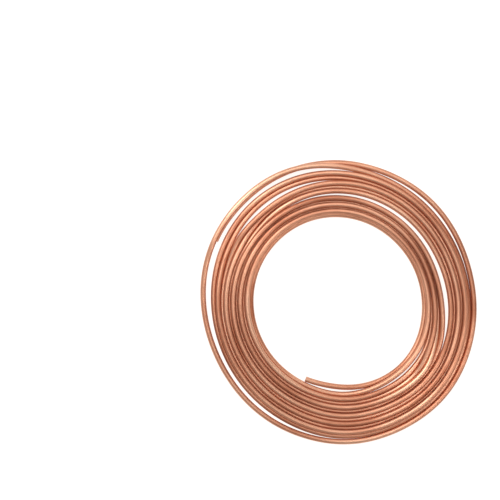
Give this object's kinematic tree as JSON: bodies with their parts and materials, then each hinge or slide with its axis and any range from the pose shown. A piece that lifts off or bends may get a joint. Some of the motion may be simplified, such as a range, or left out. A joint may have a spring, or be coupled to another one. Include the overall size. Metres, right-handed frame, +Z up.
{
  "type": "copper tube coil",
  "caption": "Flat roll of small soft copper tube, wound outwards round an open eye. The turns nest in two levels, with long gaps where they have slipped apart, and the last turn crosses over the sawn outer end.",
  "frame": {"origin": "middle of the roll's outline, on the floor that its lowest turns lie on", "axes": "+Z up through the eye, out of the face that shows; the roll lies flat in XY, its longest way 20 degrees from Y towards -X, and the long gap inside the pack 20 degrees from +X towards +Y"},
  "size_m": [0.2438, 0.2483, 0.0095],
  "materials": {
    "copper": "soft drawn copper, bright, with a satin skin"
  },
  "bodies": {
    "root": {"copper_tube": "copper"}
  },
  "joints": []
}
